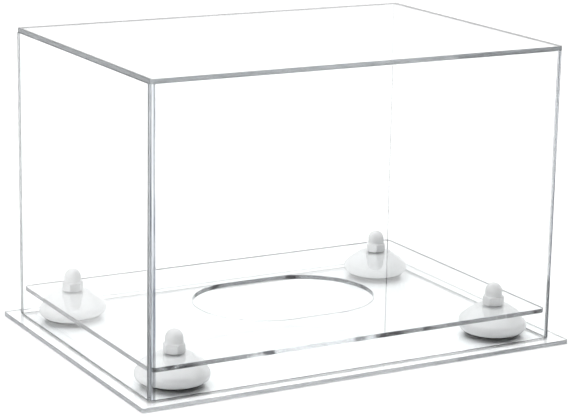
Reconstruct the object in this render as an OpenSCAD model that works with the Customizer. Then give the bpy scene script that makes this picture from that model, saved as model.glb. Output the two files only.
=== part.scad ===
// Display case for a full-size American football: a flat base plate, a lift-off
// five-sided cover, and a raised platform with an oval seat on four risers.
// Frame: +X to the right along the case's length, +Y to the back, +Z up.
// The origin is at the middle of the base plate's underside.

/* [Cover] */
// Outside length of the cover
cover_l = 300; // [260:1:340]
// Outside depth of the cover
cover_d = 208; // [190:1:240]
// Outside height of the cover, from its open edge to its top face
cover_h = 200; // [170:1:240]
// Thickness of the clear sheet that the cover is made from
sheet_t = 3; // [2:0.5:3.5]
// Outside radius of the two bent front corners
bend_r = 4; // [4:0.5:12]
// How far the top panel stops short of the walls' outer faces
top_inset = 0.4; // [0:0.1:1]
// Radius of the top panel's two front corners
top_corner_r = 2.5; // [1:0.5:12]

/* [Base] */
// How far the base plate reaches past the cover on every side
base_margin = 9; // [5:1:20]
// Thickness of the base plate
base_t = 3; // [3:0.5:6]
// Corner radius of the base plate
base_corner_r = 2; // [1:0.5:6]

/* [Platform] */
// Gap between the platform's edge and the inside of the cover
platform_gap = 0.5; // [0.3:0.1:2]
// Corner radius of the platform
platform_corner_r = 3.5; // [1:0.5:12]
// Thickness of the platform
platform_t = 3; // [3:0.5:5]
// Length of the oval seat that the ball sits in
seat_l = 128; // [110:1:150]
// Width of the oval seat
seat_w = 94; // [80:1:104]

/* [Risers] */
// Distance from the platform's ends to the middle of each riser
riser_inset_x = 26; // [24:0.5:30]
// Distance from the platform's long sides to the middle of each riser
riser_inset_y = 24; // [24:0.5:30]
// Height of the platform's underside above the base plate
riser_h = 17.6; // [14:0.1:24]
// Radius of the foot at its widest, low down
foot_rim_r = 23; // [21:0.5:23.5]
// Radius of the foot where it meets the platform
foot_top_r = 11.5; // [10:0.5:13]
// Radius of the rounding round the foot's rim
foot_round_r = 4.5; // [3:0.5:5]
// Radius of the non-slip pad where it meets the foot
pad_r = 19.5; // [17:0.5:20]
// Radius of the pad where it stands on the base plate
pad_foot_r = 15; // [12:0.5:17]
// Thickness of the non-slip pad
pad_t = 2; // [1.5:0.5:3]
// Diameter of the threaded stud that joins foot and cap nut
stud_d = 8; // [6:0.5:8]
// How far the stud stands above the platform
stud_rise = 11; // [8:0.5:11]

/* [Cap nuts] */
// Size of the nut across its flats
nut_flats = 12.8; // [12:0.1:14]
// Height of the hexagonal part
nut_hex_h = 6; // [5:0.5:7]
// Diameter of the dome
nut_dome_d = 11.6; // [11:0.1:12]
// Whole height of the nut
nut_h = 15; // [15:0.5:18]

/* [Hidden] */
// Facets of a round shape when it is drawn
fine = 96;
hex_sides = 6;
hex_chamfer = 30;
// Fits: the stud tight in its foot, the nut loose on the stud, the hole round the stud
press = 0.02;
thread_gap = 0.05;
hole_gap = 0.5;
edge_break = 0.6;

inner_bend_r = bend_r - sheet_t;
wall_h = cover_h - sheet_t;
base_l = cover_l + 2 * base_margin;
base_d = cover_d + 2 * base_margin;
platform_l = cover_l - 2 * (sheet_t + platform_gap);
platform_d = cover_d - 2 * (sheet_t + platform_gap);
platform_z = base_t + riser_h;
platform_top_z = platform_z + platform_t;
riser_x = platform_l / 2 - riser_inset_x;
riser_y = platform_d / 2 - riser_inset_y;
foot_z = base_t + pad_t;
foot_h = riser_h - pad_t;
foot_lip = 0.3;
foot_rim_z = foot_lip + foot_round_r;
stud_root = 4;
nut_bore_depth = stud_rise + 1;

// The four risers: name of the corner, its side along X and Y, and how far round
// the nut stopped when it was tightened
CORNERS = [
    ["front_left", -1, -1, 20],
    ["front_right", 1, -1, 35],
    ["back_left", -1, 1, 112],
    ["back_right", 1, 1, 5]
];
RISER_PARTS = ["foot_pad", "riser_foot", "riser_stud", "cap_nut"];

// A rectangle centred on the origin with round corners
module round_rect(length, depth, radius) {
    difference() {
        square([length, depth], center = true);
        for (side = [-1, 1]) for (end = [-1, 1])
            translate([side * length / 2, end * depth / 2]) difference() {
                square(2 * radius, center = true);
                translate([-side * radius, -end * radius]) circle(radius, $fn = fine);
            }
    }
}

// A rectangle centred on the origin whose two front corners alone are round
module front_round_rect(length, depth, radius) {
    union() {
        translate([-length / 2 + radius, -depth / 2]) square([length - 2 * radius, depth]);
        translate([-length / 2, -depth / 2 + radius]) square([length, depth - radius]);
        for (side = [-1, 1])
            translate([side * (length / 2 - radius), -depth / 2 + radius])
                circle(radius, $fn = fine);
    }
}

// An oval with straight sides and round ends, centred on the origin
module oval(length, width) {
    union() {
        square([length - width, width], center = true);
        for (end = [-1, 1])
            translate([end * (length - width) / 2, 0]) circle(width / 2, $fn = fine);
    }
}

module at_corner(corner, z) {
    translate([corner[1] * riser_x, corner[2] * riser_y, z]) children();
}

// Flat plate that everything stands on
module base_plate() {
    color([0.86, 0.93, 0.94, 0.4])
        linear_extrude(base_t) round_rect(base_l, base_d, base_corner_r);
}

// One sheet bent round the two front corners: left side, front and right side
module cover_wrap() {
    color([0.88, 0.94, 0.96, 0.3])
        translate([0, 0, base_t]) linear_extrude(wall_h) difference() {
            front_round_rect(cover_l, cover_d, bend_r);
            translate([0, sheet_t])
                front_round_rect(cover_l - 2 * sheet_t, cover_d, inner_bend_r);
        }
}

// Flat panel glued between the back ends of the two sides
module cover_back() {
    color([0.88, 0.94, 0.96, 0.3])
        translate([-cover_l / 2 + sheet_t, cover_d / 2 - sheet_t, base_t])
            cube([cover_l - 2 * sheet_t, sheet_t, wall_h]);
}

// Flat panel glued on the top edges of the four walls
module cover_top() {
    color([0.88, 0.94, 0.96, 0.3])
        translate([0, 0, base_t + wall_h]) linear_extrude(sheet_t)
            front_round_rect(cover_l - 2 * top_inset, cover_d - 2 * top_inset, top_corner_r);
}

// Raised shelf with the oval seat and a clearance hole over each riser
module platform() {
    color([0.84, 0.92, 0.94, 0.4])
        translate([0, 0, platform_z]) difference() {
            linear_extrude(platform_t)
                round_rect(platform_l, platform_d, platform_corner_r);
            translate([0, 0, -1]) linear_extrude(platform_t + 2) oval(seat_l, seat_w);
            for (corner = CORNERS)
                at_corner(corner, -1)
                    cylinder(h = platform_t + 2, r = stud_d / 2 + hole_gap, $fn = fine);
        }
}

// Thin black bumper that the foot stands on, narrower below than above
module foot_pad(corner) {
    color([0.06, 0.06, 0.06])
        at_corner(corner, base_t)
            cylinder(h = pad_t, r1 = pad_foot_r, r2 = pad_r, $fn = fine);
}

// Outline of half a foot: flat bottom, round rim, then a straight slope to the top
function foot_outline() =
    let (
        rim = [foot_rim_r - foot_round_r, foot_rim_z],
        reach = [foot_top_r, foot_h] - rim,
        slope = atan2(reach[1], reach[0]) - acos(foot_round_r / norm(reach)),
        from = -90,
        steps = 16,
        bore_r = stud_d / 2 - press
    )
    concat(
        [[0, 0], [rim[0], 0]],
        [for (i = [0:steps])
            let (a = from + (slope - from) * i / steps)
            rim + foot_round_r * [cos(a), sin(a)]],
        [[foot_top_r, foot_h], [bore_r, foot_h], [bore_r, stud_root], [0, stud_root]]
    );

// White bell-shaped foot with a blind hole for the stud
module riser_foot(corner) {
    color([0.93, 0.93, 0.93])
        at_corner(corner, foot_z)
            rotate_extrude($fn = fine) polygon(foot_outline());
}

// Stud fixed in the foot, which comes up through the platform into the nut
module riser_stud(corner) {
    length = foot_h - stud_root + platform_t + stud_rise;
    color([0.62, 0.63, 0.65])
        at_corner(corner, foot_z + stud_root) {
            cylinder(h = length - edge_break, r = stud_d / 2, $fn = fine);
            translate([0, 0, length - edge_break])
                cylinder(h = edge_break, r1 = stud_d / 2, r2 = stud_d / 2 - edge_break, $fn = fine);
        }
}

// White acorn nut: a hexagon with chamfered corners under a round-ended dome
module cap_nut(corner) {
    dome_r = nut_dome_d / 2;
    flat_r = nut_flats / 2;
    color([0.93, 0.93, 0.93])
        at_corner(corner, platform_top_z) difference() {
            union() {
                intersection() {
                    rotate(corner[3])
                        cylinder(h = nut_hex_h, r = flat_r / cos(180 / hex_sides), $fn = hex_sides);
                    rotate_extrude($fn = fine) polygon([
                        [0, 0],
                        [flat_r, 0],
                        [flat_r + nut_hex_h / 2 / tan(hex_chamfer), nut_hex_h / 2],
                        [flat_r, nut_hex_h],
                        [0, nut_hex_h]
                    ]);
                }
                cylinder(h = nut_h - dome_r, r = dome_r, $fn = fine);
                translate([0, 0, nut_h - dome_r]) sphere(dome_r, $fn = fine);
            }
            translate([0, 0, -1])
                cylinder(h = nut_bore_depth + 1, r = stud_d / 2 + thread_gap, $fn = fine);
        }
}

base_plate();
cover_wrap();
cover_back();
cover_top();
platform();
for (corner = CORNERS) {
    foot_pad(corner);
    riser_foot(corner);
    riser_stud(corner);
    cap_nut(corner);
}
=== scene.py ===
# %% [markdown]
# # A clear display case
#
# This lesson builds the looks of a ball display case in Blender: a flat base plate, a
# lift-off cover of clear sheet, and a raised platform with an oval seat that stands on
# four white screw-together risers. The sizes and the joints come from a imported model,
# which is loaded first and never moved. Everything is in metres, the case stands on
# z = 0, +X runs along its length and +Y to its back.

import bpy
import numpy as np
from mathutils import Matrix, Vector
from mathutils.geometry import delaunay_2d_cdt


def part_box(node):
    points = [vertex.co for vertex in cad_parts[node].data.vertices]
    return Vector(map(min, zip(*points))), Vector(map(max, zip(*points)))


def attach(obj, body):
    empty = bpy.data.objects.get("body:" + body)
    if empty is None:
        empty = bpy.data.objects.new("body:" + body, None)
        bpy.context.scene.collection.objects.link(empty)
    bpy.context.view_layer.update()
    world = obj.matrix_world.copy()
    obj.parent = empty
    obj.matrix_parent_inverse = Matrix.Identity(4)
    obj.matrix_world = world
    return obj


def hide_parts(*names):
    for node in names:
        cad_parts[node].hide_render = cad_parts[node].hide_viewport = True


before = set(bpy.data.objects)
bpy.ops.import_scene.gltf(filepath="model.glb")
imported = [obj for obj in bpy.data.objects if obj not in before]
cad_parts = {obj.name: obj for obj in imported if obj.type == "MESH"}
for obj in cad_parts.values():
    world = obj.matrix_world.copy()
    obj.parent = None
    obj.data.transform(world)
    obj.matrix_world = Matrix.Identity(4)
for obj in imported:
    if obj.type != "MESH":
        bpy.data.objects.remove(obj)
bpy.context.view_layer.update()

print("nodes in the frame:", len(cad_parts))

# %% [markdown]
# ## Sizes
#
# The lowest and highest corner of every part come from the frame, so each new piece
# lands where the design puts it. Only what a box can't tell, such as the radius of a
# bend or the oval of the seat, is written down here, in millimetres.

# %% Sizes in millimetres
MM = 0.001


def box_mm(node):
    """Lowest and highest corner of one part of the frame, in millimetres."""
    low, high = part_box(node)
    return np.array(low) / MM, np.array(high) / MM


base_low, base_high = box_mm("base_plate")
wrap_low, wrap_high = box_mm("cover_wrap")
back_low, back_high = box_mm("cover_back")
top_low, top_high = box_mm("cover_top")
shelf_low, shelf_high = box_mm("platform")

sheet = back_high[1] - back_low[1]
bend_outer = 4.0
bend_inner = bend_outer - sheet
base_corner = 2.0
top_corner = 2.5
shelf_corner = 3.5
seat_length, seat_width = 128.0, 94.0
stud_hole = 4.5
corners = ["front_left", "front_right", "back_left", "back_right"]
# How far round each nut stopped when it was tightened, in degrees
nut_turn = {"front_left": 20, "front_right": 35, "back_left": 112, "back_right": 5}


def riser_centre(corner):
    """Middle of one riser on the plan."""
    low, high = box_mm("foot_pad_" + corner)
    return (low[:2] + high[:2]) / 2


print("sheet", round(float(sheet), 2), "mm; cover", np.round(top_high - wrap_low, 1))

# %% [markdown]
# ## The camera
#
# A long lens from the front left, a little above the case, keeps the uprights almost
# parallel, as a product picture does. The camera is put at a distance from a point
# inside the case and turned to look at it, with a slight roll.

# %% Camera
aim = Vector((-1.66, -3.28, 86.77)) * MM
azimuth, elevation, roll = np.radians([-29.275, 14.014, 1.052])
distance = 1403.17 * MM
lens = 131.549

away = Vector((np.sin(azimuth) * np.cos(elevation),
               -np.cos(azimuth) * np.cos(elevation),
               np.sin(elevation)))
camera_data = bpy.data.cameras.new("camera")
camera_data.lens = lens
camera_data.sensor_width = 36.0
camera_data.clip_start = 0.01
camera = bpy.data.objects.new("camera", camera_data)
look = (-away).to_track_quat("-Z", "Y")
camera.matrix_world = (Matrix.Translation(aim + away * distance)
                       @ look.to_matrix().to_4x4()
                       @ Matrix.Rotation(roll, 4, "Z"))
bpy.context.scene.collection.objects.link(camera)
bpy.context.scene.camera = camera
print("camera at", [round(v, 3) for v in camera.matrix_world.translation])

# %% [markdown]
# ## Outlines
#
# Sheet parts are cut from a flat outline. An outline could be drawn as a curve and
# filled, but then the rounding of its edges is hard to control. Here it is an array of
# points with the outward direction at each, which lets the next function push the
# whole outline in or out by an exact amount.

# %% Outlines as arrays of points and outward directions
def rounded_outline(corner_points, radii, steps=8):
    """Closed outline with round corners, run anticlockwise.

    At each corner the path turns by an angle t. The arc starts r tan(t/2) before the
    corner, and its outward direction turns evenly from the old side's to the new
    one's, so point = centre + direction * r * sign(t)."""
    p = np.asarray(corner_points, float)
    r = np.broadcast_to(np.asarray(radii, float), len(p))
    before = p - np.roll(p, 1, axis=0)
    after = np.roll(p, -1, axis=0) - p
    before /= np.linalg.norm(before, axis=1)[:, None]
    after /= np.linalg.norm(after, axis=1)[:, None]
    turn = np.arctan2(before[:, 0] * after[:, 1] - before[:, 1] * after[:, 0],
                      (before * after).sum(1))
    out = np.stack([before[:, 1], -before[:, 0]], -1)
    side = (r * np.sign(turn))[:, None]
    centre = p - before * (r * np.tan(abs(turn) / 2))[:, None] - out * side
    a = turn[:, None] * np.linspace(0, 1, steps + 1)[None]
    direction = np.stack([out[:, :1] * np.cos(a) - out[:, 1:] * np.sin(a),
                          out[:, :1] * np.sin(a) + out[:, 1:] * np.cos(a)], -1)
    points = centre[:, None] + direction * side[:, None]
    return points.reshape(-1, 2), direction.reshape(-1, 2)


def rectangle(low, high, radii):
    """Rectangle between two corners; radii in the order front left, front right,
    back right, back left."""
    (x0, y0), (x1, y1) = low[:2], high[:2]
    return rounded_outline([(x0, y0), (x1, y0), (x1, y1), (x0, y1)], radii)


def oval_hole(centre, length, width, count):
    """Oval hole, run clockwise: half circles of half the width, pushed apart by
    length - width, with the outward direction pointing into the hole."""
    a = -(np.arange(count) + 0.5) * 2 * np.pi / count
    ray = np.stack([np.cos(a), np.sin(a)], -1)
    shift = np.stack([np.sign(ray[:, 0]) * (length - width) / 2, 0 * a], -1)
    return np.asarray(centre) + shift + ray * width / 2, -ray


print("outline of the base plate:", len(rectangle(base_low, base_high, base_corner)[0]))

# %% [markdown]
# ## Sheets with eased edges
#
# A sheet of clear acrylic shows itself almost only at its edges, so these have to be
# right: a sawn edge, flat across the thickness, with a fine rounding along both
# arrises. A bevel modifier would do it, but glass also needs exact normals, or the big
# flat faces look like lenses. So the wall is a grid, outline by edge profile, whose
# normals are worked out with its points, and the faces are filled with triangles.

# %% Sheet parts
# Rounding along the edges of every sheet, in millimetres, and how many steps it has
EASE = 0.3
EASE_STEPS = 3


def sheet_mesh(name, outlines, low, high, columns=1, caps=0, glued=None):
    """Solid between two heights, cut along one outer outline and any holes.

    The numbers are finishes. A flat plate has polished caps (0) and a cut edge (1)
    along its outline. A wall that stands up has its sawn ends above and below, so
    caps is the number of the dark sawn finish, partly painted reflection, and columns
    holds one number for each point of the outline. Outside the outline glued, the
    lower cap of a plate is stuck down, and has finish 2.

    The edge profile runs from the lower face to the upper one: a quarter circle of
    radius EASE, a straight edge, and another quarter circle. Point = outline -
    outward * inset, at the profile's height; normal = outward * sin q, -+cos q."""
    q = np.linspace(0, np.pi / 2, EASE_STEPS + 1)
    inset = EASE * (1 - np.sin(np.concatenate([q, q[::-1]])))
    height = np.concatenate([low + EASE * (1 - np.cos(q)),
                             high - EASE * (1 - np.cos(q[::-1]))])
    sideways = np.sin(np.concatenate([q, q[::-1]]))
    upward = np.concatenate([-np.cos(q), np.cos(q[::-1])])
    rings = len(inset)

    points, normals, quads, first = [], [], [], 0
    bottom_ring, top_ring = [], []
    for outline, out in outlines:
        n = len(outline)
        flat = outline[None] - out[None] * inset[:, None, None]
        points.append(np.concatenate(
            [flat, np.broadcast_to(height[:, None, None], (rings, n, 1))], -1))
        normals.append(np.concatenate(
            [out[None] * sideways[:, None, None],
             np.broadcast_to(upward[:, None, None], (rings, n, 1))], -1))
        quads.append(first + grid_quads(rings, n))
        bottom_ring.append(first + np.arange(n))
        top_ring.append(first + (rings - 1) * n + np.arange(n))
        first += rings * n
    points = np.concatenate([p.reshape(-1, 3) for p in points])
    normals = np.concatenate([p.reshape(-1, 3) for p in normals])
    quads = np.concatenate(quads)

    triangles = fill_triangles([points[ring, :2] for ring in top_ring])
    top_cap = np.concatenate(top_ring)[triangles]
    bottom_index = np.concatenate(bottom_ring)
    bottom_cap = bottom_index[triangles[:, ::-1]]
    stuck = np.zeros((0, 3), int)
    if glued is not None:
        inner_index = len(points) + np.arange(len(glued))
        points = np.concatenate([points, np.insert(glued, 2, low, axis=1)])
        normals = np.concatenate([normals, np.tile([0.0, 0.0, -1.0], (len(glued), 1))])
        rim_index = np.concatenate([bottom_index, inner_index[::-1]])
        rim = fill_triangles([points[bottom_index, :2], glued[::-1]])
        stuck = rim_index[rim[:, ::-1]]
        bottom_cap = inner_index[fill_triangles([glued])[:, ::-1]]
    faces = np.concatenate([top_cap, bottom_cap, stuck])
    outer = np.tile(columns * np.ones(len(outlines[0][0]), int), rings - 1)
    finish = np.concatenate([outer, np.ones(len(quads) - len(outer), int),
                             np.full(len(top_cap) + len(bottom_cap), caps),
                             np.full(len(stuck), 2)])
    return new_mesh(name, points, quads.tolist() + faces.tolist(), normals, finish)


def grid_quads(rings, around):
    """Faces between neighbouring rings of a grid that closes on itself sideways."""
    r, a = np.meshgrid(np.arange(rings - 1), np.arange(around), indexing="ij")
    b = (a + 1) % around
    quads = np.stack([r * around + a, r * around + b,
                      (r + 1) * around + b, (r + 1) * around + a], -1)
    return quads.reshape(-1, 4)


def fill_triangles(rings):
    """Triangles that fill an outline and leave its holes open."""
    flat = np.concatenate(rings)
    starts = np.cumsum([0] + [len(ring) for ring in rings])
    loops = [list(range(a, b)) for a, b in zip(starts[:-1], starts[1:])]
    inside_with_holes = 2
    out = delaunay_2d_cdt([Vector(p) for p in flat.tolist()], [], loops,
                          inside_with_holes, 1e-9)
    source = np.array([origin[0] for origin in out[3]])
    triangles = source[np.array(out[2])]
    a, b, c = (flat[triangles[:, k]] for k in range(3))
    area = ((b[:, 0] - a[:, 0]) * (c[:, 1] - a[:, 1])
            - (b[:, 1] - a[:, 1]) * (c[:, 0] - a[:, 0]))
    triangles[area < 0] = triangles[area < 0][:, ::-1]
    return triangles


def new_mesh(name, points_mm, faces, normals=None, material_index=None):
    """Object at the origin with its place in its mesh, shaded smooth."""
    mesh = bpy.data.meshes.new(name)
    mesh.from_pydata((np.asarray(points_mm) * MM).tolist(), [], faces)
    mesh.polygons.foreach_set("use_smooth", np.ones(len(faces), bool))
    if material_index is not None:
        mesh.polygons.foreach_set("material_index", material_index)
    mesh.update()
    if normals is not None:
        mesh.normals_split_custom_set_from_vertices(normals.tolist())
    piece = bpy.data.objects.new(name, mesh)
    bpy.context.scene.collection.objects.link(piece)
    return piece


def finish_piece(piece, body, node, slot, *materials):
    """Puts the finishes on a piece, rides it on its body and lets it stand for its
    part of the frame."""
    for material in materials:
        piece.data.materials.append(material)
    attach(piece, body)
    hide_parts(node)
    print(piece.name, "faces:", len(piece.data.polygons))
    return piece


# %% [markdown]
# ## Turned parts
#
# The feet, pads, studs and nuts are round about an upright axis. A lathe or a Screw
# modifier would turn them, but the nut has a hexagon and the stud a thread, which
# change with the angle. One function takes rings of radii instead: a radius for every
# height and every angle, closed at both ends by a single point on the axis.

# %% Turned parts
def turned_mesh(name, centre, heights, radii, around):
    """Surface of rings about an upright axis.

    Point = centre + radius(height, angle) * (cos, sin of the angle), height. The
    first and last heights are the points on the axis that close the surface."""
    heights = np.asarray(heights, float)
    a = np.arange(around) * 2 * np.pi / around
    radii = np.asarray(radii, float)
    if radii.ndim == 1:
        radii = np.repeat(radii[:, None], around, axis=1)
    z = np.broadcast_to(heights[1:-1, None], radii[1:-1].shape)
    rings = np.stack([centre[0] + radii[1:-1] * np.cos(a),
                      centre[1] + radii[1:-1] * np.sin(a), z], -1)
    count = len(rings)
    ends = [[centre[0], centre[1], heights[0]], [centre[0], centre[1], heights[-1]]]
    points = np.concatenate([rings.reshape(-1, 3), ends])
    i = np.arange(around)
    j = (i + 1) % around
    last = (count - 1) * around
    lower = np.stack([np.full(around, count * around), j, i], -1)
    upper = np.stack([np.full(around, count * around + 1), last + i, last + j], -1)
    faces = grid_quads(count, around).tolist() + lower.tolist() + upper.tolist()
    piece = new_mesh(name, points, faces)
    piece.data.set_sharp_from_angle(angle=np.radians(50))
    return piece


def arc_rows(centre, radius, start, stop, steps):
    """Rows (radius, height) along an arc of a profile, angles in degrees."""
    a = np.radians(np.linspace(start, stop, steps + 1))
    return np.stack([centre[0] + radius * np.cos(a), centre[1] + radius * np.sin(a)], -1)


# %% [markdown]
# ## Finishes
#
# Clear acrylic is Principled glass. It has four finishes: polished faces, cut edges
# that are a little rough, with grey and dark patches of painted reflection, hot bends
# with dark and light streaks of painted reflection that run along them, and dark sawn
# ends. The last stands in for glued joints and is painted reflection of the dark room
# that such ends mirror. A clear face reflects less than real acrylic does.
#
# Each pattern is noise on Object coordinates. Its scale differs along the axes, which
# stretches it into marks that run across or along an edge.

# %% Helpers for shader nodes
def new_material(name):
    """Material with an empty node tree and one Principled shader."""
    material = bpy.data.materials.new(name)
    material.use_nodes = True
    tree = material.node_tree
    tree.nodes.clear()
    shader = tree.nodes.new("ShaderNodeBsdfPrincipled")
    output = tree.nodes.new("ShaderNodeOutputMaterial")
    tree.links.new(shader.outputs[0], output.inputs["Surface"])
    return material, tree, shader


def stretched_noise(tree, scale, detail, roughness=0.5):
    """Noise on Object coordinates, with its own scale along each axis."""
    place = tree.nodes.new("ShaderNodeTexCoord")
    stretch = tree.nodes.new("ShaderNodeMapping")
    stretch.inputs["Scale"].default_value = scale
    noise = tree.nodes.new("ShaderNodeTexNoise")
    noise.inputs["Scale"].default_value = 1.0
    noise.inputs["Detail"].default_value = detail
    noise.inputs["Roughness"].default_value = roughness
    tree.links.new(place.outputs["Object"], stretch.inputs["Vector"])
    tree.links.new(stretch.outputs[0], noise.inputs["Vector"])
    return noise.outputs["Fac"]


def remap(tree, value, low, high, to_low, to_high):
    """Map Range: values between low and high become to_low to to_high."""
    node = tree.nodes.new("ShaderNodeMapRange")
    for socket, number in zip(("From Min", "From Max", "To Min", "To Max"),
                              (low, high, to_low, to_high)):
        node.inputs[socket].default_value = number
    tree.links.new(value, node.inputs["Value"])
    return node.outputs[0]


def blend_colours(tree, value, dark, light):
    """Colour ramp between two colours."""
    node = tree.nodes.new("ShaderNodeValToRGB")
    node.color_ramp.elements[0].color = (*dark, 1)
    node.color_ramp.elements[1].color = (*light, 1)
    tree.links.new(value, node.inputs["Fac"])
    return node.outputs["Color"]


def bump(tree, value, strength, depth_mm, shader):
    """Bump of the given depth on a shader's normal."""
    node = tree.nodes.new("ShaderNodeBump")
    node.inputs["Strength"].default_value = strength
    node.inputs["Distance"].default_value = depth_mm * MM
    tree.links.new(value, node.inputs["Height"])
    tree.links.new(node.outputs[0], shader.inputs["Normal"])


# %% Clear acrylic
ACRYLIC_IOR = 1.49


def clear_face(name, tint):
    """Polished face of the clear sheet."""
    material, _, shader = new_material(name)
    shader.inputs["Base Color"].default_value = (*tint, 1)
    shader.inputs["Transmission Weight"].default_value = 1.0
    shader.inputs["IOR"].default_value = ACRYLIC_IOR
    shader.inputs["Roughness"].default_value = 0.0
    shader.inputs["Specular Tint"].default_value = (0.3, 0.3, 0.3, 1)
    return material


def bend_with_painted_reflection(name, dark, light):
    """Clear sheet drawn out in a bend: streaks that run along it, tinted dark and light as
    painted reflection, with a slight bump.
    """
    material, tree, shader = new_material(name)
    shader.inputs["Transmission Weight"].default_value = 1.0
    shader.inputs["IOR"].default_value = ACRYLIC_IOR
    shader.inputs["Roughness"].default_value = 0.0
    streaks = stretched_noise(tree, (1100, 1100, 6), detail=3, roughness=0.7)
    painted_streaks = remap(tree, streaks, 0.38, 0.6, 0.0, 1.0)
    # Dark to light tint of the streaks: painted reflection of the studio
    tree.links.new(blend_colours(tree, painted_streaks, dark, light),
                   shader.inputs["Base Color"])
    bump(tree, streaks, 0.3, 0.05, shader)
    return material


def cut_edge(name, dark, light, marks, rough, spread=(0.3, 0.7), clear=0.75):
    """Edge of the clear sheet, tinted with patches of painted reflection: marks is the
    noise's scale along each axis, spread the part of it over which the painted
    reflection goes from dark to light, and clear how much of the light goes through."""
    material, tree, shader = new_material(name)
    shader.inputs["Transmission Weight"].default_value = clear
    shader.inputs["IOR"].default_value = ACRYLIC_IOR
    lines = stretched_noise(tree, marks, detail=4, roughness=0.6)
    tint = remap(tree, lines, *spread, 0.0, 1.0)
    # Dark to light tint: painted reflection of the studio in the edge
    tree.links.new(blend_colours(tree, tint, dark, light), shader.inputs["Base Color"])
    tree.links.new(remap(tree, lines, 0.3, 0.7, *rough), shader.inputs["Roughness"])
    bump(tree, lines, 0.5, 0.02, shader)
    return material


# The bend's near-black and light streaks are painted reflection of the studio
bend_cover = bend_with_painted_reflection("clear_cover_bend", (0.008, 0.012, 0.03), (0.85, 0.88, 0.92))
clear_tint = (0.985, 0.992, 0.994)
face_cover = clear_face("clear_cover_face", clear_tint)
face_base = clear_face("clear_base_face", clear_tint)
face_shelf = clear_face("clear_platform_face", clear_tint)
# Grey and near-black patches on these edges are painted reflection of the studio
edge_cover = cut_edge("clear_cover_edge", (0.25, 0.27, 0.28), (0.6, 0.63, 0.65),
                      (60, 60, 1500), (0.02, 0.15))
edge_base = cut_edge("clear_base_edge", (0.3, 0.32, 0.33), (0.7, 0.72, 0.73),
                     (25, 25, 1500), (0.02, 0.15))
edge_shelf = cut_edge("clear_platform_edge", (0.02, 0.02, 0.025), (0.85, 0.87, 0.88),
                      (45, 45, 60), (0.02, 0.12), (0.38, 0.46))
# Dark finish for sawn ends, glued joints and the platform's sides: dark joints and painted
# reflection of the dark room
sawn_edge_and_painted_reflection = cut_edge("clear_sawn_edge_and_painted_reflection", (0.02, 0.021, 0.022), (0.2, 0.21, 0.22),
                     (120, 120, 900), (0.1, 0.3), clear=0.1)

# %% White plastic, rubber and steel
white_plastic, tree, shader = new_material("white_plastic")
mottle = stretched_noise(tree, (160, 160, 160), detail=3)
tree.links.new(blend_colours(tree, mottle, (0.52, 0.52, 0.525), (0.60, 0.60, 0.595)),
               shader.inputs["Base Color"])
tree.links.new(remap(tree, mottle, 0.3, 0.7, 0.1, 0.2), shader.inputs["Roughness"])
shader.inputs["IOR"].default_value = 1.5
grain = stretched_noise(tree, (900, 900, 900), detail=2)
bump(tree, grain, 0.25, 0.02, shader)

black_rubber, tree, shader = new_material("black_rubber")
shader.inputs["Specular IOR Level"].default_value = 0.05
grain = stretched_noise(tree, (1500, 1500, 1500), detail=3)
tree.links.new(blend_colours(tree, grain, (0.004, 0.004, 0.004), (0.012, 0.012, 0.012)),
               shader.inputs["Base Color"])
tree.links.new(remap(tree, grain, 0.3, 0.7, 0.6, 0.85), shader.inputs["Roughness"])
bump(tree, grain, 0.4, 0.05, shader)

stud_steel, tree, shader = new_material("stud_steel")
shader.inputs["Metallic"].default_value = 1.0
brushed = stretched_noise(tree, (700, 700, 5000), detail=4)
tree.links.new(blend_colours(tree, brushed, (0.42, 0.42, 0.43), (0.66, 0.66, 0.67)),
               shader.inputs["Base Color"])
tree.links.new(remap(tree, brushed, 0.3, 0.7, 0.22, 0.4), shader.inputs["Roughness"])
print("materials:", len(bpy.data.materials))

# %% [markdown]
# ## The base plate
#
# A flat sheet that everything stands on, with polished edges. The cover and the feet
# only rest on it.

# %% Base plate
# How far a clear sheet stays from whatever touches it, in millimetres
GAP = 0.03

base_plate = sheet_mesh(
    "base_plate_clear", [rectangle(base_low, base_high, base_corner)],
    base_low[2], base_high[2])
finish_piece(base_plate, "base", "base_plate", "clear_base", face_base, edge_base)

# %% [markdown]
# ## The cover
#
# Its left side, front and right side are one sheet, bent hot round the two front
# corners. A flat back panel is glued between the sides, and a flat top panel on all
# four walls. Each stays a hair clear of the next, because two faces of glass in the
# same place can't be told apart by the renderer.
#
# The walls' upper and lower ends have the dark sawn finish, which is partly painted
# reflection of the dark room, and so does the rim under the top panel where it is
# glued to them. Seen through the panel, that rim is the line which marks its far edges.

# %% Cover
wall_corner = 0.35
top_back_corner = 0.5
bend_steps = 14
x0, y0 = wrap_low[:2]
x1, y1 = wrap_high[:2]
inner_x, inner_y = x1 - sheet, y0 + sheet
wrap_corners = [(x0, y0), (x1, y0), (x1, y1), (inner_x, y1),
                (inner_x, inner_y), (-inner_x, inner_y), (-inner_x, y1), (x0, y1)]
wrap_radii = [bend_outer, bend_outer, wall_corner, wall_corner,
              bend_inner, bend_inner, wall_corner, wall_corner]
wrap_outline = rounded_outline(wrap_corners, wrap_radii, bend_steps)
# Finish of each point: 1 at the back ends, 2 where the outward direction turns, or 0
at_back = wrap_outline[0][:, 1] > y1 - 0.2
in_bend = (wrap_outline[0][:, 1] < y0 + bend_outer) & (
    abs(wrap_outline[1] * np.roll(wrap_outline[1], -1, 0)).max(1) < 0.999)
# Bends with streaks of painted reflection; wall ends with the dark finish, partly painted
# reflection
cover_wrap = sheet_mesh("cover_wrap_clear", [wrap_outline], wrap_low[2] + GAP,
                        wrap_high[2] - GAP, 1 * at_back + 2 * in_bend, caps=3)
finish_piece(cover_wrap, "cover", "cover_wrap", "clear_cover", face_cover, edge_cover,
             bend_cover, sawn_edge_and_painted_reflection)

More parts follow.
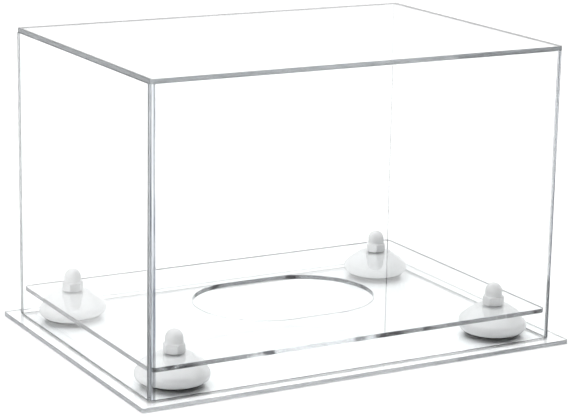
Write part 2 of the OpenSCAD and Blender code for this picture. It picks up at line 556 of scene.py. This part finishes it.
back_outline = rectangle(back_low + (GAP, 0, 0), back_high - (GAP, 0, 0), wall_corner)
at_ends = abs(back_outline[1][:, 0]) > 0.5
cover_back = sheet_mesh("cover_back_clear", [back_outline], back_low[2] + GAP,
                        back_high[2] - GAP, 1 * at_ends, caps=2)
finish_piece(cover_back, "cover", "cover_back", "clear_cover", face_cover, edge_cover,
             sawn_edge_and_painted_reflection)

top_radii = [top_corner, top_corner, top_back_corner, top_back_corner]
top_outline = rectangle(top_low, top_high, top_radii)
inside_walls = np.array([(-inner_x, inner_y), (inner_x, inner_y),
                         (inner_x, back_low[1]), (-inner_x, back_low[1])])
cover_top = sheet_mesh("cover_top_clear", [top_outline], top_low[2], top_high[2],
                       glued=inside_walls)
finish_piece(cover_top, "cover", "cover_top", "clear_cover", face_cover, edge_cover,
             sawn_edge_and_painted_reflection)

# %% [markdown]
# ## The platform
#
# The raised sheet has the oval seat in its middle and a clearance hole over each
# riser. Its front edge and its holes have a cut edge, light with dark patches of
# painted reflection, and its other edges are dark, painted reflection of the dark room.

# %% Platform
seat_points, hole_points = 160, 64
holes = [oval_hole((0, 0), seat_length, seat_width, seat_points)]
holes += [oval_hole(riser_centre(corner), 2 * stud_hole, 2 * stud_hole, hole_points)
          for corner in corners]
shelf_outline = rectangle(shelf_low, shelf_high, shelf_corner)
faces_front = shelf_outline[1][:, 1] < -0.7
# Front edge: cut edge with patches of painted reflection; other sides: dark finish of
# painted reflection
platform = sheet_mesh("platform_clear", [shelf_outline] + holes, shelf_low[2],
                      shelf_high[2], np.where(faces_front, 1, 2))
finish_piece(platform, "shelf", "platform", "clear_platform", face_shelf, edge_shelf,
             sawn_edge_and_painted_reflection)

# %% [markdown]
# ## The risers
#
# Each riser is a white bell-shaped foot on a black rubber pad, a threaded stud fixed
# in the foot, and an acorn nut that clamps the platform.

# %% Feet and pads
foot_low, foot_high = box_mm("riser_foot_front_left")
foot_rim = (foot_high[0] - foot_low[0]) / 2
foot_top = 11.5
foot_lip = 0.3
foot_bulge = 0.3
rim_round = 4.5
crown_round, crown_reach, crown_inset = 0.7, 0.5, 0.2
hole_radius, hole_chamfer, hole_floor = 4.0, 0.4, 4
pad_foot = 15.0
pad_round = 0.3
foot_sides, pad_sides = 144, 128


def foot_profile():
    """Rows (radius, height) of the foot from its underside up: a flat, the rim's arc,
    a slope that bulges a little, a rounded top, and the hole for the stud."""
    low, high = foot_low[2], foot_high[2] - GAP
    rim = np.array([foot_rim - rim_round, low + foot_lip + rim_round])
    reach = np.array([foot_top, high]) - rim
    slope = np.degrees(np.arctan2(reach[1], reach[0])
                       - np.arccos(rim_round / np.linalg.norm(reach)))
    arc = arc_rows(rim, rim_round, -90, slope, 24)
    u = np.linspace(0, 1, 15)[1:-1, None]
    end = np.array([foot_top + crown_reach, high - crown_reach])
    out = np.array([np.cos(np.radians(slope)), np.sin(np.radians(slope))])
    flank = arc[-1] + (end - arc[-1]) * u + out * foot_bulge * np.sin(np.pi * u)
    crown = arc_rows((foot_top - crown_inset, high - crown_round), crown_round, 35, 90, 5)
    hole = np.array([[hole_radius + hole_chamfer, high],
                     [hole_radius, high - hole_chamfer],
                     [hole_radius, low + hole_floor], [0, low + hole_floor]])
    return np.concatenate([[[0, low], [foot_rim - rim_round, low]], arc, flank, crown,
                           hole])


def pad_profile(low, high, radius):
    """Rows of the pad: a disc that narrows downwards, with rounded edges."""
    lean = np.degrees(np.arctan2(high - low, radius - pad_foot))
    foot_arc = arc_rows((pad_foot, low + pad_round), pad_round, -90, lean - 90, 4)
    top_arc = arc_rows((radius - pad_round, high - pad_round), pad_round,
                       lean - 90, 90, 8)
    return np.concatenate([[[0, low]], foot_arc, top_arc, [[0, high]]])


for corner in corners:
    rows = foot_profile()
    foot = turned_mesh("riser_foot_white_" + corner, riser_centre(corner),
                       rows[:, 1], rows[:, 0], foot_sides)
    finish_piece(foot, "shelf", "riser_foot_" + corner, "white_plastic", white_plastic)
    low, high = box_mm("foot_pad_" + corner)
    rows = pad_profile(low[2] + GAP, high[2], (high[0] - low[0]) / 2)
    pad = turned_mesh("foot_pad_rubber_" + corner, riser_centre(corner),
                      rows[:, 1], rows[:, 0], pad_sides)
    finish_piece(pad, "shelf", "foot_pad_" + corner, "black_rubber", black_rubber)

# %% Studs
THREAD_PITCH = 1.25
THREAD_DEPTH = 0.6
stud_clearance = 0.02
stud_tip = 1.0
stud_sides = 48


def thread_radii(heights, around, radius):
    """Radius of a screw thread: the crest less a flat-topped wave of the phase
    height / pitch - angle / turn."""
    a = np.arange(around) / around
    phase = (heights[:, None] / THREAD_PITCH - a[None]) % 1.0
    wave = np.clip(1.6 * abs(2 * phase - 1) - 0.25, 0, 1)
    return radius - THREAD_DEPTH * wave


for corner in corners:
    low, high = box_mm("riser_stud_" + corner)
    stud_radius = (high[0] - low[0]) / 2 - stud_clearance
    z = np.arange(low[2], high[2], THREAD_PITCH / 10)
    radii = thread_radii(z, stud_sides, stud_radius)
    radii = np.minimum(radii, (stud_radius - stud_tip + (high[2] - z))[:, None])
    z = np.concatenate([[z[0]], z, [z[-1]]])
    radii = np.concatenate([radii[:1], radii, radii[-1:]])
    stud = turned_mesh("riser_stud_steel_" + corner, riser_centre(corner), z, radii,
                       stud_sides)
    finish_piece(stud, "shelf", "riser_stud_" + corner, "stud_steel", stud_steel)

# %% [markdown]
# The acorn nut is a hexagon with its corners chamfered above and below, under a
# round-ended dome, with a blind threaded hole from below. A hexagon's radius at an
# angle is its flat's distance over the largest of six cosines. Taking a high power
# mean in place of the largest rounds the six arrises.

# %% Cap nuts
nut_flat = 6.4
nut_hex = 6.0
dome_radius = 5.8
neck_round = 0.3
bore_depth, bore_end, bore_rows = 12, 0.6, 92
bore_radius, mouth_radius, underside_radius = 4.05, 4.9, 6.1
arris_power = 60
nut_sides = 180


def hexagon_radius(around, turn):
    """Flat distance / (sum of cos^n to the six flats)^(1/n), with n = arris_power."""
    a = np.arange(around) * 2 * np.pi / around
    flats = np.radians(turn + 30) + np.arange(6) * np.pi / 3
    c = np.clip(np.cos(a[:, None] - flats[None]), 0, 1)
    return nut_flat / (c ** arris_power).sum(1) ** (1 / arris_power)


def nut_rows(low, high, turn, around):
    """Heights and radii of the nut from the end of its blind hole, down the hole, out
    under the foot of the hexagon and up to the top of the dome."""
    bore_z = low + np.linspace(bore_depth, bore_end, bore_rows)
    bore = thread_radii(bore_z, around, bore_radius + THREAD_DEPTH)
    hexagon = hexagon_radius(around, turn)
    # The rows lie close together at both ends, where the chamfers are
    z = np.array([0, 0.06, 0.15, 0.3, 0.45, 0.6, 0.8, 1.2, 2, 3])
    z = np.concatenate([z, nut_hex - z[-2::-1]])
    chamfer = nut_flat + np.minimum(z, nut_hex - z)[:, None] * np.sqrt(3)
    side = (hexagon[None] ** -arris_power + chamfer ** -arris_power) ** (-1 / arris_power)
    dome_z = high - dome_radius
    neck = arc_rows((dome_radius + neck_round, low + nut_hex + neck_round), neck_round,
                    270, 180, 3)
    cap = arc_rows((0, dome_z), dome_radius, 0, 90, 20)
    plain = np.concatenate([neck, cap[:-1]])
    heights = np.concatenate([[low + bore_depth], bore_z, [low, low], low + z, plain[:, 1],
                              [high]])
    flat = np.ones((1, around))
    radii = np.concatenate([0 * flat, bore, mouth_radius * flat,
                            underside_radius * flat, side, plain[:, :1] * flat,
                            0 * flat])
    return heights, radii


for corner in corners:
    low, high = box_mm("cap_nut_" + corner)
    heights, radii = nut_rows(low[2] + GAP, high[2], nut_turn[corner], nut_sides)
    nut = turned_mesh("cap_nut_white_" + corner, riser_centre(corner), heights, radii,
                      nut_sides)
    finish_piece(nut, "nut_" + corner, "cap_nut_" + corner, "white_plastic",
                 white_plastic)

# %% [markdown]
# ## Floor and light
#
# A plain white floor, and a room that is white low down and dark overhead, on the
# camera's side and at the back left. The clear sheets show the white through their
# faces, and the dark mostly where an edge or a bend turns the light.
#
# Light that enters a sheet by its edge is reflected from face to face many times
# before it leaves, so the number of bounces is high. With few, the edges turn black.
# The filter on reflections is off, because with it the glass counts as rough for the
# light that reaches what is under the cover, and turns all of that grey.

# %% Floor
floor_radius, floor_top, floor_sides = 1300, -0.02, 96
a = np.arange(floor_sides) * 2 * np.pi / floor_sides
floor_points = np.stack([floor_radius * np.cos(a), floor_radius * np.sin(a),
                         0 * a + floor_top], -1)
floor = new_mesh("floor", floor_points, [list(range(floor_sides))])
floor_white, tree, shader = new_material("floor_white")
paper = stretched_noise(tree, (3, 3, 3), detail=2)
tree.links.new(blend_colours(tree, paper, (0.88, 0.88, 0.88), (0.9, 0.9, 0.9)),
               shader.inputs["Base Color"])
shader.inputs["Roughness"].default_value = 0.9
floor.data.materials.append(floor_white)

# %% World and lamps
world = bpy.data.worlds.new("studio")
bpy.context.scene.world = world
world.use_nodes = True
tree = world.node_tree
tree.nodes.clear()
sky = tree.nodes.new("ShaderNodeBackground")
out = tree.nodes.new("ShaderNodeOutputWorld")
ray = tree.nodes.new("ShaderNodeTexCoord")
tree.links.new(sky.outputs[0], out.inputs["Surface"])
sky.inputs["Strength"].default_value = 1.1


def darkness_towards(direction, start, full, amount):
    """0 to amount, as the cosine between a ray and a direction goes from start to
    full."""
    cosine = tree.nodes.new("ShaderNodeVectorMath")
    cosine.operation = "DOT_PRODUCT"
    cosine.inputs[1].default_value = Vector(direction).normalized()
    tree.links.new(ray.outputs["Generated"], cosine.inputs[0])
    return remap(tree, cosine.outputs["Value"], start, full, 0.0, amount)


def pick(operation, first, second):
    """The larger or the smaller of two values: MAXIMUM or MINIMUM."""
    node = tree.nodes.new("ShaderNodeMath")
    node.operation = operation
    tree.links.new(first, node.inputs[0])
    tree.links.new(second, node.inputs[1])
    return node.outputs[0]


overhead = darkness_towards((0, 0, 1), 0.35, 0.65, 0.75)
camera_side = darkness_towards((0.25, -1, 0), 0.35, 0.7, 1.0)
back_left = darkness_towards((-0.49, 0.87, 0.1), 0.85, 0.93, 1.0)
above_horizon = darkness_towards((0, 0, 1), 0.08, 0.14, 1.0)
dark = pick("MAXIMUM", pick("MAXIMUM", overhead, camera_side), back_left)
dark = pick("MINIMUM", dark, above_horizon)
tree.links.new(blend_colours(tree, dark, (1.0, 1.0, 1.0), (0.03, 0.03, 0.035)),
               sky.inputs["Color"])


def softbox(name, place, target, size, power):
    """Rectangular lamp at a place, turned towards a target; sizes in metres."""
    data = bpy.data.lights.new(name, "AREA")
    data.shape = "RECTANGLE"
    data.size, data.size_y = size
    data.energy = power
    lamp = bpy.data.objects.new(name, data)
    turn = (Vector(target) - Vector(place)).to_track_quat("-Z", "Y")
    lamp.matrix_world = Matrix.Translation(place) @ turn.to_matrix().to_4x4()
    bpy.context.scene.collection.objects.link(lamp)
    return lamp


softbox("softbox_above", (0.2, 1.0, 2.2), (0.1, 0.6, 0), (3.4, 3.4), 84)
softbox("softbox_left", (-1.6, -0.5, 1.0), (0, 0, 0.1), (0.5, 1.2), 12)
softbox("softbox_right", (1.5, -1.3, 1.8), (0, 0, 0.1), (0.6, 0.9), 13)
bpy.context.scene.view_settings.view_transform = "Standard"
cycles = bpy.context.scene.cycles
bounces = 128
cycles.max_bounces = cycles.transmission_bounces = cycles.glossy_bounces = bounces
cycles.blur_glossy = 0
